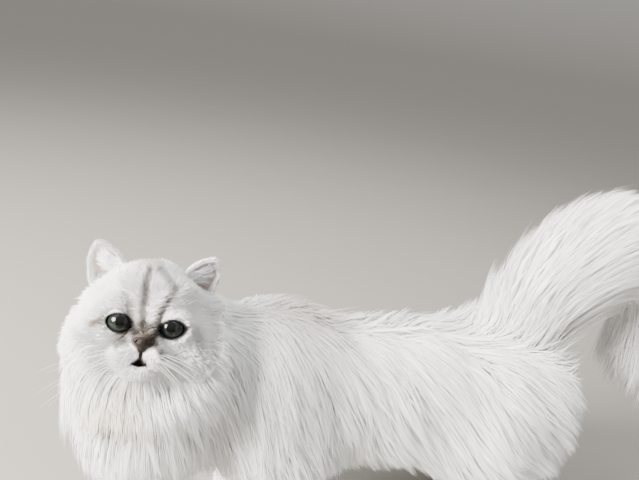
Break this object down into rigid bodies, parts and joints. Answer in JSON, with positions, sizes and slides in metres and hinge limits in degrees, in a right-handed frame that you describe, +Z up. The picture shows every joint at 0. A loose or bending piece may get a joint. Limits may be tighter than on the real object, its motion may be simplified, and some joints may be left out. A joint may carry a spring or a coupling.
{
  "type": "persian cat",
  "caption": "Life-size standing longhaired cat with a flat face turned to its left, small round ears, a deep ruff and a full tail plume arched back.",
  "frame": {"origin": "on the floor, under the middle of the whole cat's box", "axes": "+Z up, the cat's body points to -X and its left side to -Y, so its face looks to -Y"},
  "size_m": [0.6896, 0.216, 0.4074],
  "materials": {
    "coat": "long soft white fur",
    "nose_leather": "damp fine-grained skin",
    "eye": "wet and polished"
  },
  "bodies": {
    "root": {"head": "coat", "ear_left": "coat", "ear_right": "coat", "neck": "coat", "torso": "coat", "leg_front_left": "coat", "leg_front_right": "coat", "leg_rear_left": "coat", "leg_rear_right": "coat", "tail_base": "coat", "tail_middle": "coat", "tail_tip": "coat", "nose": "nose_leather", "eye_left": "eye", "eye_right": "eye"}
  },
  "joints": []
}
